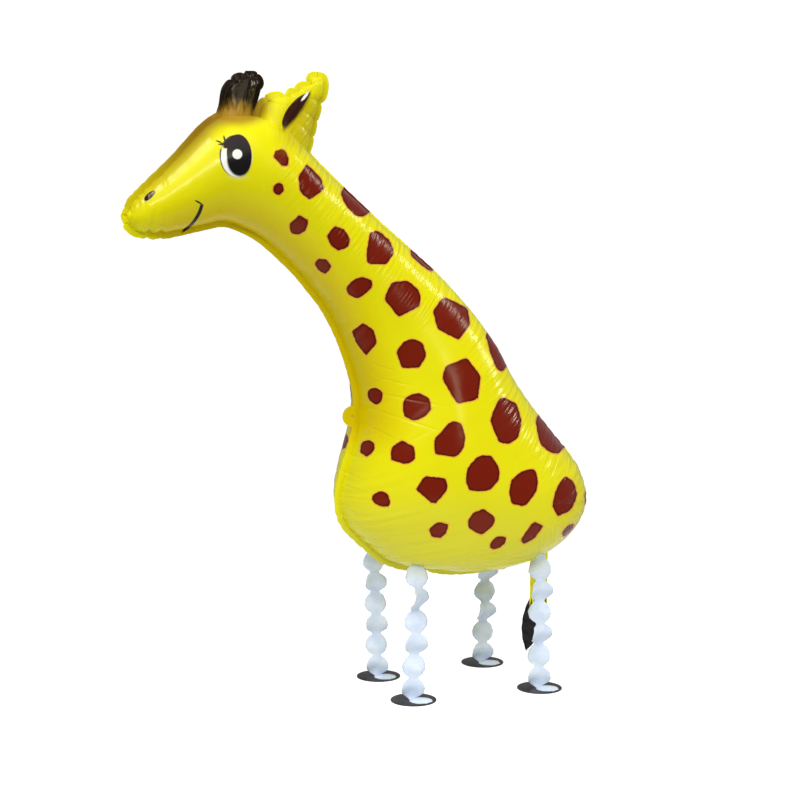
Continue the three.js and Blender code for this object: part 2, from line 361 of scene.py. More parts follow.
# how far each point of the sheet is drawn in, by the puckers and notches of both edges and by flutes
def puckerDepth(lobe, places, points, back, front, tight, angle, closed, chance):
    steps = np.linalg.norm(np.diff(points, axis=1), axis=2)
    fromBack = np.concatenate([np.zeros((len(places), 1)), np.cumsum(steps, axis=1)], axis=1)
    fromFront = fromBack[:, -1:] - fromBack
    drawnIn = np.zeros((len(places), len(angle)))
    for edge, away in ((back, fromBack), (front, fromFront)):
        along = lengthAlong(edge)
        for pucker in lobe["puckers"]:
            folds = foldsAlong(along, pucker["apart"], pucker["deep"], chance) * tight
            drawnIn += folds[:, None] * np.exp(-away / pucker["reach"])
        creases = weld["creaseShare"] * notchesAlong(edge, along, lobe["notches"])
        drawnIn += creases[:, None] * np.exp(-away / lobe["notchReach"])
    if "flutes" in lobe:
        flutes = lobe["flutes"]
        valleys = np.cos(flutes["count"] * angle + flutes["turned"]) ** 2
        strength = flutes["deep"] * np.clip(flutes["until"] - places, 0, 1)
        drawnIn += strength[:, None] * valleys
    ends = np.linspace(0, 1, len(places))
    calm = np.clip(ends / weld["tipCalm"], 0, 1)
    if closed:
        calm = calm * np.clip((1 - ends) / weld["baseCalm"], 0, 1)
    return drawnIn * calm[:, None]


def pushedIn(points, drawnIn):
    normal = np.cross(np.gradient(points, axis=0), np.gradient(points, axis=1))
    size = np.linalg.norm(normal, axis=2, keepdims=True)
    normal = normal / np.maximum(size, 1e-9)
    normal[normal[:, points.shape[1] // 2, 1] > 0] *= -1
    return points - normal * drawnIn[:, :, None]


# one half of a lobe, the sheet on the near side of the seam, as points in drawn millimetres
def halfLobe(lobe, closed):
    chance = np.random.default_rng(lobe["seed"])
    rings, across, rimHalf = lobe["rings"], lobe["across"], lobe["rimHalf"]
    places = np.linspace(0, len(lobe["rows"]) - 1, rings + 1)
    read = readRows(lobe["rows"], places)
    back, front = read[:, 0:2], read[:, 2:4]
    depth = np.maximum(read[:, 4], 0) * lobe["slim"]
    tight = readPairs(lobe["tightness"], places)
    (outerBack, outerFront), (innerBack, innerFront) = seamEdges(lobe, back, front, tight, closed, chance)

    angle = np.linspace(0, np.pi, across + 1)
    points = archedSheet(lobe, places, innerBack, innerFront, depth, angle)
    drawnIn = puckerDepth(lobe, places, points, back, front, tight, angle, closed, chance)
    points = pushedIn(points, drawnIn)
    points[:, :, 1] = np.minimum(points[:, :, 1], -rimHalf)

    # two more columns on each side make the flat seam, with a thin rim at its edge
    sheet = np.zeros((rings + 1, across + 5, 3))
    sheet[:, 2:-2] = points
    for column, edge, inside, y in (
        (0, outerBack, innerBack, 0),
        (1, outerBack, innerBack, -rimHalf),
        (-2, outerFront, innerFront, -rimHalf),
        (-1, outerFront, innerFront, 0),
    ):
        share = 0 if y == 0 else weld["seamRim"] / weld["seamWidth"]
        place = edge + (inside - edge) * share
        sheet[:, column, 0] = place[:, 0]
        sheet[:, column, 1] = y
        sheet[:, column, 2] = place[:, 1]
    return sheet


def toMetres(points):
    metres = points * mm
    metres[..., 0] += originX
    metres[..., 2] -= drawnFloor * mm
    return metres


# both sheets of a lobe, welded along their rims
def weldedLobe(name, sheet):
    piece = bentSheet(name, toMetres(sheet))
    mirror = piece.modifiers.new("other_sheet", "MIRROR")
    mirror.use_axis = (False, True, False)
    mirror.merge_threshold = mergeDistance
    applyAll(piece)
    mergeAndFace(piece)
    bpy.ops.object.mode_set(mode="EDIT")
    bpy.ops.mesh.select_all(action="DESELECT")
    bpy.ops.mesh.select_mode(type="EDGE")
    bpy.ops.mesh.select_non_manifold(extend=False, use_wire=False, use_multi_face=False,
                                     use_non_contiguous=False, use_verts=False)
    if any(edge.select for edge in bmeshEdges(piece)):
        bpy.ops.mesh.edge_face_add()
    bpy.ops.mesh.select_all(action="SELECT")
    bpy.ops.mesh.normals_make_consistent(inside=False)
    bpy.ops.mesh.select_mode(type="VERT")
    bpy.ops.object.mode_set(mode="OBJECT")
    return piece


def bmeshEdges(piece):
    piece.update_from_editmode()
    return piece.data.edges


# the hang tab: a round ear of welded foil on the throat, with a punched hole
hangTab = {"row": 17, "stand": 2, "radius": 15, "hole": 2.25, "thickness": 1.0, "punch": 8.0, "sides": 64}


def roundSlab(name, centre, radius, thickness):
    putDown()
    bpy.ops.mesh.primitive_cylinder_add(
        vertices=hangTab["sides"], radius=radius * mm, depth=thickness * mm,
        location=(originX + centre[0] * mm, 0, (centre[1] - drawnFloor) * mm),
        rotation=(math.radians(90), 0, 0))
    slab = bpy.context.object
    slab.name = name
    bpy.ops.object.transform_apply(location=True, rotation=True, scale=False)
    return slab


def combine(piece, other, how):
    work = piece.modifiers.new("combine", "BOOLEAN")
    work.operation = how
    work.solver = "EXACT"
    work.object = other
    pickUp(piece)
    bpy.ops.object.modifier_apply(modifier=work.name)
    bpy.data.objects.remove(other)


def makeEnvelope():
    piece = weldedLobe("foil_envelope", halfLobe(body, True))
    combine(piece, weldedLobe("horn_lobe", halfLobe(horn, False)), "UNION")
    combine(piece, weldedLobe("ear_lobe", halfLobe(ear, False)), "UNION")
    rail = np.array(body["rows"], float)[:, 2:4]
    k = hangTab["row"]
    along = rail[k + 1] - rail[k - 1]
    outward = np.array([along[1], -along[0]]) / np.linalg.norm(along)
    centre = rail[k] + outward * hangTab["stand"]
    combine(piece, roundSlab("tab", centre, hangTab["radius"], hangTab["thickness"]), "UNION")
    combine(piece, roundSlab("hole", centre, hangTab["hole"], hangTab["punch"]), "DIFFERENCE")
    mergeAndFace(piece)
    return piece


balloon = makeEnvelope()
print("envelope made", len(balloon.data.vertices), "points")

# the print, read off the picture in its pixels: the corners of each spot
spots = {
    "cheekUpper": [(275, 151), (283.6, 148.6), (288.6, 157), (287.9, 166), (281.4, 165.7), (273.6, 157)],
    "cheekLower": [(279.3, 182), (284, 185.7), (283.6, 192), (279, 195.4), (272.9, 192), (272.9, 186.4)],
    "nape": [(307, 164), (314.3, 170.7), (320.7, 177), (324, 190), (309.3, 199.6), (300, 192),
             (298.6, 175.7)],
    "napeEdge": [(347, 182), (374, 208), (363, 217.1), (355, 215.7), (345, 204.3), (340.5, 194)],
    "neckA": [(299.3, 215), (308.3, 220), (306.4, 230), (298.6, 235), (290.7, 232.9), (289.3, 224.3)],
    "neckB": [(335, 225.7), (344.3, 229.3), (350.4, 240), (347.9, 247), (338.6, 250.7), (330.7, 245.7),
              (327, 235)],
    "neckC": [(318.6, 258.6), (326.4, 259.3), (331.7, 266.4), (325.7, 274.3), (318.6, 270.7), (314.3, 263.6)],
    "neckD": [(370, 232), (378, 230.5), (390.7, 241.4), (394, 253), (386.4, 264.3), (368, 263.8), (366, 257)],
    "neckE": [(362, 276.4), (371.4, 280), (372.6, 286), (367, 293), (357, 298.6), (348, 294.3),
              (346, 288.6), (352, 280.7)],
    "neckF": [(392, 282), (408, 280.7), (419.3, 290.7), (421, 299), (419.3, 306.4), (398.6, 317),
              (384, 298.6)],
    "neckEdge": [(410, 254), (413, 243), (440, 268), (430, 271.4), (416.4, 261.4)],
    "shoulderA": [(441.5, 299), (445, 296.5), (456, 302), (467.5, 307.5), (470, 325), (458.5, 340),
                  (437.5, 329), (433, 311)],
    "throatA": [(363, 323), (373.5, 329.5), (377, 343), (366, 355.5), (355.5, 342), (352, 331)],
    "throatB": [(404, 341.5), (413, 338.5), (423, 343.5), (426.4, 356), (419, 368), (402, 368), (396, 352)],
    "shoulderB": [(466.6, 357.6), (480.6, 376), (478, 399), (458, 404), (453, 398), (442, 378), (446, 366)],
    "backEdge": [(485.5, 334), (493, 328), (510, 362), (502, 372), (496.5, 369), (489, 350)],
    "chestA": [(375, 387), (383, 392), (382, 401), (376.6, 405.4), (368, 399), (368, 390)],
    "chestB": [(419, 393), (429, 398), (431.6, 409), (425, 417), (414, 421), (404, 416), (402.6, 403),
               (407, 396)],
    "flankA": [(501, 396.6), (516, 403), (522, 422), (518, 438), (509, 444.4), (499, 442), (490, 421),
               (495, 406)],
    "rumpEdge": [(538, 415), (546, 408), (574, 438), (558, 454), (549, 452), (540, 444), (535.4, 420)],
    "chestC": [(451, 420.6), (461, 423), (465.4, 436), (464, 448), (456, 457.4), (435, 454), (434, 439),
               (445, 427)],
    "chestD": [(368, 439.4), (374.6, 443), (374, 451), (367, 457), (360, 452), (361, 443)],
    "chestE": [(402, 440), (414, 447), (415.4, 459), (407, 464.4), (391, 460), (391, 448)],
    "flankB": [(479, 455.4), (491, 455.6), (499.4, 468), (499, 480), (489, 491), (470, 491), (465.6, 482),
               (468, 467)],
    "bellyA": [(424.6, 476), (446, 478.6), (447.6, 490), (434, 505), (416, 489.6)],
    "flankC": [(522, 471), (534, 468.6), (538, 478), (537, 491), (525, 506.4), (512, 504), (509, 494),
               (511, 480)],
    "rumpA": [(566, 476), (574, 482), (577.4, 496), (571, 510), (558, 516.4), (552, 506), (555, 492),
              (559, 483)],
    "bellyB": [(381, 491), (387, 493), (390.4, 501), (389, 507), (378, 506), (371.4, 500), (373, 494)],
    "bellyC": [(484, 508.6), (495.4, 518), (493, 526), (481, 535.6), (469, 528), (467.6, 521), (473, 513)],
    "bellyD": [(437, 522), (448.4, 524), (447, 532), (441, 538.4), (432, 537), (428.6, 530)],
    "bellyE": [(533, 521), (543.4, 526), (535, 538), (524, 544), (520, 540), (526, 531)],
    "bellyF": [(498, 536), (506.6, 537), (505, 544), (495, 550), (489.4, 548), (491, 541)],
    "rumpB": [(568, 525), (574.6, 523), (573, 530), (564, 537), (561.4, 535), (564, 529)],
    "rumpC": [(584.5, 492), (592, 490), (592, 508), (585.5, 507)],
}
spotCornerRound = 0.75  # pixels
earStreak = [(283.5, 130.5), (281.4, 122), (285, 112), (290.5, 104), (299, 96.2), (311.5, 90.8),
             (309.5, 98), (303.5, 109), (293, 123)]


# distance from points to the edge of a spot, in pixels, below nought inside it
def insideSpot(points, corners):
    corners = np.array(corners, float)
    middle = corners.mean(axis=0)
    total = np.zeros(len(points))
    for k in range(len(corners)):
        start, end = corners[k], corners[(k + 1) % len(corners)]
        side = end - start
        out = np.array([side[1], -side[0]]) / np.linalg.norm(side)
        if np.dot(out, middle - start) > 0:
            out = -out
        total += np.exp(np.clip((points - start) @ out / spotCornerRound, -60, 60))
    return spotCornerRound * np.log(total)


# how far points are from a line, and how far along it their nearest place is
def nearestToLine(points, line):
    best = np.full(len(points), 1e9)
    place = np.zeros(len(points))
    gone = 0
    for start, end in zip(line[:-1], line[1:]):
        side = end - start
        long = max(np.linalg.norm(side), 1e-9)
        share = np.clip((points - start) @ side / long**2, 0, 1)
        away = np.linalg.norm(points - start - share[:, None] * side, axis=1)
        place = np.where(away < best, gone + share * long, place)
        best = np.minimum(best, away)
        gone += long
    return best, place


def writeField(piece, name, values):
    field = piece.data.attributes.new(name, "FLOAT", "POINT")
    field.data.foreach_set("value", np.ascontiguousarray(values, dtype=np.float32))


# how far out the print is reckoned, in pixels, and the rows of the body beside the throat and brow
printReach = {"spot": 12.0, "search": 14, "streak": 20, "backSteps": 260, "throat": (4, 18),
              "brow": (1, 9)}


# what the print, and the painted shade at the throat, need to know at each point of the envelope
def markPrintAndShade(piece):
    reach = printReach
    points = pointsOf(piece)
    picture = onPicture(points)
    nearest = np.full(len(points), reach["spot"])
    for corners in spots.values():
        low = np.min(corners, axis=0) - reach["search"]
        high = np.max(corners, axis=0) + reach["search"]
        close = np.all((picture > low) & (picture < high), axis=1)
        nearest[close] = np.minimum(nearest[close], insideSpot(picture[close], corners))
    writeField(piece, "spotEdge", nearest)

    drawn = np.stack([(points[:, 0] - originX) / mm, points[:, 2] / mm + drawnFloor], axis=1)
    rows = np.array(body["rows"], float)
    fine = readRows(body["rows"], np.linspace(0, len(rows) - 1, reach["backSteps"]))
    fromBack, alongBack = nearestToLine(drawn, fine[:, 0:2])
    writeField(piece, "fromBack", fromBack)
    writeField(piece, "alongBack", alongBack)
    writeField(piece, "fromThroat", nearestToLine(drawn, rows[slice(*reach["throat"]), 2:4])[0])
    writeField(piece, "fromBrow", nearestToLine(drawn, rows[slice(*reach["brow"]), 0:2])[0])
    streakEdge = np.clip(insideSpot(picture, earStreak), -reach["streak"], reach["streak"])
    writeField(piece, "streakEdge", streakEdge)

    layer = piece.data.uv_layers.new(name="print")
    corner = np.zeros(len(piece.data.loops), int)
    piece.data.loops.foreach_get("vertex_index", corner)
    flat = picture[corner] / photoView["picture"]
    flat[:, 1] = 1 - flat[:, 1]
    layer.data.foreach_set("uv", flat.astype(np.float32).ravel())


markPrintAndShade(balloon)
print("print laid out")


def tint(red, green, blue):
    shades = []
    for value in (red, green, blue):
        share = value / 255
        shades.append(share / 12.92 if share <= 0.04045 else ((share + 0.055) / 1.055) ** 2.4)
    return (*shades, 1)


def newMaterial(name):
    material = bpy.data.materials.new(name)
    material.use_nodes = True
    tree = material.node_tree
    return material, tree, tree.nodes["Principled BSDF"]


# sets a node's sockets: a value is put on the socket itself, and another node's output is linked
def feed(tree, node, inputs):
    for key, value in inputs.items():
        if isinstance(value, bpy.types.NodeSocket):
            tree.links.new(value, node.inputs[key])
        else:
            node.inputs[key].default_value = value
    return node


def addNode(tree, kind, inputs, **settings):
    node = tree.nodes.new(kind)
    for key, value in settings.items():
        setattr(node, key, value)
    return feed(tree, node, inputs)


def reckon(tree, how, first, second=0.0, clamp=False):
    return addNode(tree, "ShaderNodeMath", {0: first, 1: second}, operation=how, use_clamp=clamp).outputs[0]


def fade(tree, value, start, end, low=0.0, high=1.0):
    inputs = {"Value": value, "From Min": start, "From Max": end, "To Min": low, "To Max": high}
    return addNode(tree, "ShaderNodeMapRange", inputs, interpolation_type="SMOOTHSTEP").outputs[0]


def blendColours(tree, share, under, over):
    return addNode(tree, "ShaderNodeMix", {0: share, 6: under, 7: over}, data_type="RGBA").outputs[2]


def oval(tree, chart, centre, radii, tilt, soft):
    turned = addNode(tree, "ShaderNodeMapping", {
        "Vector": chart,
        "Location": (centre[0], centre[1], 0),
        "Rotation": (0, 0, math.radians(tilt)),
        "Scale": (radii[0], radii[1], 1),
    }, vector_type="TEXTURE")
    size = addNode(tree, "ShaderNodeVectorMath", {0: turned.outputs[0]}, operation="LENGTH")
    return fade(tree, size.outputs["Value"], 1 - soft, 1 + soft, 1.0, 0.0)


def noise(tree, where, scale, detail=3.0, rough=0.5):
    return addNode(tree, "ShaderNodeTexNoise", {
        "Vector": where, "Scale": scale, "Detail": detail, "Roughness": rough}).outputs["Fac"]


def bumpOf(tree, height, distance, strength, under=None):
    inputs = {"Height": height, "Distance": distance, "Strength": strength}
    if under is not None:
        inputs["Normal"] = under
    return addNode(tree, "ShaderNodeBump", inputs).outputs[0]


foilInkAndPaintedLight = {
    "yellow": tint(232, 226, 12),
    "warmYellow": tint(222, 206, 2),
    "paleYellow": tint(228, 222, 96),
    # painted shade and floor reflection: the greyer yellow low on the belly
    "belly": tint(212, 208, 60),
    # painted shade: the darker, warmer yellow along the throat
    "throat": tint(218, 192, 0),
    "brow": tint(152, 116, 18),
    "spot": tint(116, 24, 6),
    "spotEdge": tint(80, 12, 3),
    "spotRim": tint(236, 178, 52),
    "black": tint(16, 14, 18),
    "lid": tint(30, 8, 34),
    # the eye's printed white, and also the white of the ear's painted highlight
    "white": tint(244, 244, 236),
    "hornBrown": tint(26, 11, 5),
    "streak": tint(50, 16, 10),
    "ochre": tint(168, 128, 32),
    # painted shade: the darker yellow over the ear
    "earShade": tint(188, 166, 6),
    "tuft": tint(16, 14, 15),
}

# a range is [start, end, share at the start, share at the end], in pixels or drawn millimetres
ground = {
    "cloudScale": 6.0,
    "warm": (0.35, 0.75, 0.0, 0.35),
    # painted shade and floor reflection, greyer towards the bottom of the belly
    "belly": (455, 575, 0.0, 0.75),
    # painted shade along the throat seam, fading with drawn millimetres from it
    "throat": (8, 60, 0.8, 0.0),
    "forehead": (120, 205, 0.35, 1.0),
    "brow": (3, 26, 1.0, 0.0),
}
# the inks of a spot, each with the pixels from the spot's edge between which it fades out
spotLayers = [("spotRim", 0.9, 1.7), ("spotEdge", -0.2, 0.5), ("spot", -2.6, -0.6)]
spotWaver = {"scale": 0.2, "detail": 2.0, "shift": (0.2, 0.8, -0.4, 0.4)}

# each ink oval is [centre, radii, turn, softness, ink], in the pixels of the picture
eyeOvals = [
    [(238, 177.2), (9, 2.4), 0, 0.7, "paleYellow"],
    [(235.8, 156), (16.2, 21), -3, 0.03, "black"],
    [(236.6, 156.6), (15.7, 20.5), -3, 0.03, "white"],
    [(227, 146.4), (6.4, 2.3), -14, 0.2, "paleYellow"],
    [(239.3, 154.6), (12.5, 20.4), -5, 0.035, "lid"],
    [(239.1, 160.3), (12.0, 16.1), -5, 0.1, "black"],
    [(231.4, 141.6), (9.8, 4.3), -36, 0.08, "lid"],
    [(218.8, 141.6), (3.4, 0.8), 20, 0.2, "lid"],
    [(221.6, 144), (3.4, 0.9), -8, 0.2, "lid"],
    [(224.4, 138.6), (3.3, 0.9), 76, 0.2, "lid"],
    [(237.3, 154.2), (4.9, 4.9), 0, 0.1, "white"],
]
faceOvals = [
    [(149.5, 195.8), (7.2, 2.8), -42, 0.14, "lid"],
    [(151.6, 193.4), (3.4, 0.8), -42, 0.3, "brow"],
    [(198.8, 202.4), (4.6, 0.9), 30, 0.2, "lid"],
]
smile = {
    "outer": [(163, 196), (41.6, 41.6), 0, 0.008],
    "inner": [(160.2, 195.2), (41, 41.2), 0, 0.008],
    "across": (180, 184),
    "down": (203.5, 205.5),
}
hornPrint = {
    "lean": (1, 0.4, 0),
    "side": (297.5, 299.5, 1.0, 0.0),
    "above": (109, 116, 1.0, 0.0),
    "streakScale": (0.28, 0.07, 1),
    "jag": (0.3, 0.7, -5.0, 5.0),
    "arch": [(236.5, 116), (17, 18), 0, 0.3],
    "lit": (94, 113, 0.0, 1.0),
    "ochre": [(238, 105), (31, 20), 0, 0.3],
    "ochreShare": 0.85,
}
earPrintAndPaintedLight = {
    # painted shade: the oval where the ear is darkened
    "warm": [(300, 121), (19, 28), 25, 0.55],
    "shadeShare": 0.6,
    "hairTurn": -58,
    "hairScale": (9, 1.1, 1),
    "rearward": (0.77, 0.64, 0),
    "loose": (295, 305, 0.5, 3.0),
    # painted highlight: a small white mark near the ear streak's end
    "glint": [(305, 96.5), (5.4, 1.3), -50, 0.35],
}

# the foil's gloss and relief: bumps are (depth in metres, strength)
foilSkin = {
    "fineScale": 90.0,
    "broadScale": 22.0,
    "rough": (0.3, 0.7, 0.15, 0.25),
    "hornRough": 0.06,
    "specular": 0.2,
    "specularTint": (1, 0.94, 0.66, 1),
    "combAlong": 0.19,
    "combAcross": 0.012,
    "combReach": (20, 130, 1.0, 0.0),
    "combStart": (230, 360, 0.0, 1.0),
    "broadBump": (0.0016, 0.5),
    "combBump": (0.0055, 0.5),
    "creaseBump": (0.0009, 0.6),
    "fineBump": (0.00025, 0.5),
    "creaseSoft": 0.95,
}

# long creases that run in from the seam: [centre, half length and width, turn]
creases = [
    [(408, 399), (26, 1.1), 11],
    [(403, 419), (31, 1.2), 18],
    [(381, 432), (14, 1.0), 26],
    [(382, 367), (15, 1.1), 19],
    [(392, 381), (17, 1.0), 14],
    [(349, 474), (12, 1.3), 23],
    [(350, 487.5), (13, 1.3), 21],
    [(352, 498.5), (14, 1.2), 8],
    [(356, 514), (13, 1.3), 18],
    [(360, 523.5), (12, 1.2), 7],
    [(352, 455), (11, 1.2), 14],
    [(395, 520), (22, 1.4), -14],
    [(420, 545), (26, 1.6), -8],
    [(500, 556), (24, 1.6), 12],
]


# the chart of the picture, and what was marked at the envelope's points
def printChart(tree):
    size = photoView["picture"]
    laid = addNode(tree, "ShaderNodeUVMap", {}, uv_map="print").outputs[0]
    chart = addNode(tree, "ShaderNodeMapping", {
        "Vector": laid, "Location": (0, size, 0), "Scale": (size, -size, 1)}).outputs[0]
    pixel = addNode(tree, "ShaderNodeSeparateXYZ", {0: chart}).outputs
    field = {"across": pixel[0], "down": pixel[1]}
    for name in ("spotEdge", "streakEdge", "fromThroat", "fromBrow", "fromBack", "alongBack"):
        field[name] = addNode(tree, "ShaderNodeAttribute", {}, attribute_name=name).outputs["Fac"]
    return chart, field


# yellow with the printed brow; painted shade darkens the throat, and painted shade and floor reflection grey
# the low belly
def groundInkAndShade(tree, where, field):
    cloud = noise(tree, where, ground["cloudScale"])
    colour = blendColours(tree, fade(tree, cloud, *ground["warm"]), foilInkAndPaintedLight["yellow"], foilInkAndPaintedLight["warmYellow"])
    # painted shade and floor reflection low on the belly
    colour = blendColours(tree, fade(tree, field["down"], *ground["belly"]), colour, foilInkAndPaintedLight["belly"])
    # painted shade along the throat
    throat = fade(tree, field["fromThroat"], *ground["throat"])
    colour = blendColours(tree, throat, colour, foilInkAndPaintedLight["throat"])
    forehead = fade(tree, field["across"], *ground["forehead"])
    brow = reckon(tree, "MULTIPLY", fade(tree, field["fromBrow"], *ground["brow"]), forehead)
    return blendColours(tree, brow, colour, foilInkAndPaintedLight["brow"])


# each spot has a pale rim, a dark line, and the red-brown
def spotInk(tree, chart, field, colour):
    waver = noise(tree, chart, spotWaver["scale"], spotWaver["detail"])
    edge = reckon(tree, "ADD", field["spotEdge"], fade(tree, waver, *spotWaver["shift"]))
    for ink, start, end in spotLayers:
        colour = blendColours(tree, fade(tree, edge, start, end, 1.0, 0.0), colour, foilInkAndPaintedLight[ink])
    return colour


# eye, nostril and smile
def faceInk(tree, chart, field, colour):
    for centre, radii, turn, soft, ink in eyeOvals + faceOvals:
        colour = blendColours(tree, oval(tree, chart, centre, radii, turn, soft), colour, foilInkAndPaintedLight[ink])
    whole = oval(tree, chart, *smile["outer"])
    hollow = oval(tree, chart, *smile["inner"])
    bow = reckon(tree, "SUBTRACT", whole, hollow, True)
    right = fade(tree, field["across"], *smile["across"])
    lower = fade(tree, field["down"], *smile["down"])
    bow = reckon(tree, "MULTIPLY", bow, reckon(tree, "MULTIPLY", lower, right))
    return blendColours(tree, bow, colour, foilInkAndPaintedLight["lid"])


# where the horn is black: above an ochre arch with a streaky edge
def hornDark(tree, chart, field):
    side = addNode(tree, "ShaderNodeVectorMath", {0: chart, 1: hornPrint["lean"]}, operation="DOT_PRODUCT")
    hornSide = fade(tree, side.outputs["Value"], *hornPrint["side"])
    hornPart = reckon(tree, "MULTIPLY", hornSide, fade(tree, field["down"], *hornPrint["above"]))
    drawn = addNode(tree, "ShaderNodeMapping", {"Vector": chart, "Scale": hornPrint["streakScale"]})
    streaks = noise(tree, drawn.outputs[0], 1.0)
    down = reckon(tree, "ADD", field["down"], fade(tree, streaks, *hornPrint["jag"]))
    lit = reckon(tree, "MULTIPLY", oval(tree, chart, *hornPrint["arch"]), fade(tree, down, *hornPrint["lit"]))
    return reckon(tree, "MULTIPLY", hornPart, reckon(tree, "SUBTRACT", 1.0, lit))


def hornInk(tree, chart, dark, colour):
    ochre = reckon(tree, "MULTIPLY", oval(tree, chart, *hornPrint["ochre"]), hornPrint["ochreShare"])
    colour = blendColours(tree, ochre, colour, foilInkAndPaintedLight["ochre"])
    return blendColours(tree, dark, colour, foilInkAndPaintedLight["hornBrown"])


# painted shade darkens the ear inside; a printed dark streak feathers along its rear, with a painted
# highlight at its end
def earInkAndPaintedLight(tree, chart, field, colour):
    # painted shade over the inside of the ear
    inside = reckon(tree, "MULTIPLY", oval(tree, chart, *earPrintAndPaintedLight["warm"]), earPrintAndPaintedLight["shadeShare"])
    colour = blendColours(tree, inside, colour, foilInkAndPaintedLight["earShade"])
    combed = addNode(tree, "ShaderNodeMapping", {
        "Vector": chart, "Rotation": (0, 0, math.radians(earPrintAndPaintedLight["hairTurn"])),
        "Scale": earPrintAndPaintedLight["hairScale"]}, vector_type="TEXTURE")
    hairs = noise(tree, combed.outputs[0], 1.0)
    rear = addNode(tree, "ShaderNodeVectorMath", {0: chart, 1: earPrintAndPaintedLight["rearward"]}, operation="DOT_PRODUCT")
    loose = fade(tree, rear.outputs["Value"], *earPrintAndPaintedLight["loose"])
    feather = reckon(tree, "MULTIPLY", loose, reckon(tree, "SUBTRACT", hairs, 0.5))
    edge = reckon(tree, "DIVIDE", reckon(tree, "ADD", field["streakEdge"], feather), loose)
    colour = blendColours(tree, fade(tree, edge, -1.0, 1.0, 1.0, 0.0), colour, foilInkAndPaintedLight["streak"])
    # painted highlight at the streak's end
    return blendColours(tree, oval(tree, chart, *earPrintAndPaintedLight["glint"]), colour, foilInkAndPaintedLight["white"])


# creases, fine folds square to the back seam, and the foil's own unevenness
def foilRelief(tree, where, chart, field, broad):
    furrow = None
    for centre, radii, turn in creases:
        line = oval(tree, chart, centre, radii, turn, foilSkin["creaseSoft"])
        furrow = line if furrow is None else reckon(tree, "ADD", furrow, line)
    combed = addNode(tree, "ShaderNodeCombineXYZ", {
        0: reckon(tree, "MULTIPLY", field["alongBack"], foilSkin["combAlong"]),
        1: reckon(tree, "MULTIPLY", field["fromBack"], foilSkin["combAcross"])})
    comb = noise(tree, combed.outputs[0], 1.0, 2.0, 0.4)
    near = reckon(tree, "MULTIPLY", fade(tree, field["fromBack"], *foilSkin["combReach"]),
                  fade(tree, field["alongBack"], *foilSkin["combStart"]))
    fine = noise(tree, where, foilSkin["fineScale"], 4.0, 0.6)
    soft = bumpOf(tree, broad, *foilSkin["broadBump"])
    soft = bumpOf(tree, reckon(tree, "MULTIPLY", comb, near), *foilSkin["combBump"], soft)
    soft = bumpOf(tree, reckon(tree, "SUBTRACT", 1.0, furrow), *foilSkin["creaseBump"], soft)
    return bumpOf(tree, fine, *foilSkin["fineBump"], soft)


def printedFoilAndPaintedLight():
    material, tree, shader = newMaterial("printed_foil")
    where = addNode(tree, "ShaderNodeTexCoord", {}).outputs["Object"]
    chart, field = printChart(tree)
    colour = groundInkAndShade(tree, where, field)
    colour = spotInk(tree, chart, field, colour)
    colour = faceInk(tree, chart, field, colour)
    dark = hornDark(tree, chart, field)
    colour = hornInk(tree, chart, dark, colour)
    colour = earInkAndPaintedLight(tree, chart, field, colour)
    broad = noise(tree, where, foilSkin["broadScale"], 2.0)
    rough = fade(tree, broad, *foilSkin["rough"])
    feed(tree, shader, {
        "Base Color": colour,
        "Roughness": reckon(tree, "ADD", rough, reckon(tree, "MULTIPLY", dark, foilSkin["hornRough"])),
        "Normal": foilRelief(tree, where, chart, field, broad),
        "Specular IOR Level": foilSkin["specular"],
        "Specular Tint": foilSkin["specularTint"],
    })
    return material


foil = printedFoilAndPaintedLight()
balloon.data.materials.clear()
balloon.data.materials.append(foil)
pickUp(balloon)
bpy.ops.object.shade_smooth_by_angle(angle=math.radians(72))
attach(balloon, "root")
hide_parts("foil_body")
print("foil printed")

# paper legs: strips of round links, folded at narrow necks, with the last link glued to the foot
paperLegs = {
    "linkDiameter": 33,
    "linkPitch": 32,
    "neckWidth": 14,
    "foldSwing": 9,
    "glueOffset": 14,
    "tuck": 3,
    "thickness": 0.5,
    "footGap": 0.3,
    "crinkle": 0.12,
    "cup": 3.2,
    "zigzag": 2.6,
    "ragged": 0.05,
    "stepsPerLink": 18,
    "stepsAcross": 8,
    "neckTwist": 0.3,
    "freeEndAt": 0.96,
    "legs": {
        "front_right": {"lean": -6, "turns": [25, -20, -30, -15, -25, -10, -40, -70]},
        "front_left": {"lean": 11, "inward": 12, "turns": [25, -20, -30, -10, -20, 30, -15, -42]},
        "rear_right": {"lean": 10, "turns": [25, -15, -30, 10, -35, 0, -30, -10]},
        "rear_left": {"lean": 2, "turns": [25, -20, -35, 5, -30, -5, -40, -15]},
    },
}


def bellyAbove(x, y):
    bpy.context.view_layer.update()
    return balloon.ray_cast(Vector((x, y, 0)), Vector((0, 0, 1)))[1].z


def linkWidth(share):
    leg = paperLegs
    return max(leg["neckWidth"], leg["linkDiameter"] * math.sqrt(max(0, 1 - (2 * share - 1) ** 2)))


def facingOf(turns, place):
    neck = math.floor(place + 0.5)
    share = np.clip((place - neck) / paperLegs["neckTwist"] / 2 + 0.5, 0, 1)
    share = share * share * (3 - 2 * share)
    below = turns[int(np.clip(neck, 0, len(turns) - 1))]
    above = turns[int(np.clip(neck + 1, 0, len(turns) - 1))]
    return math.radians(below + (above - below) * share)


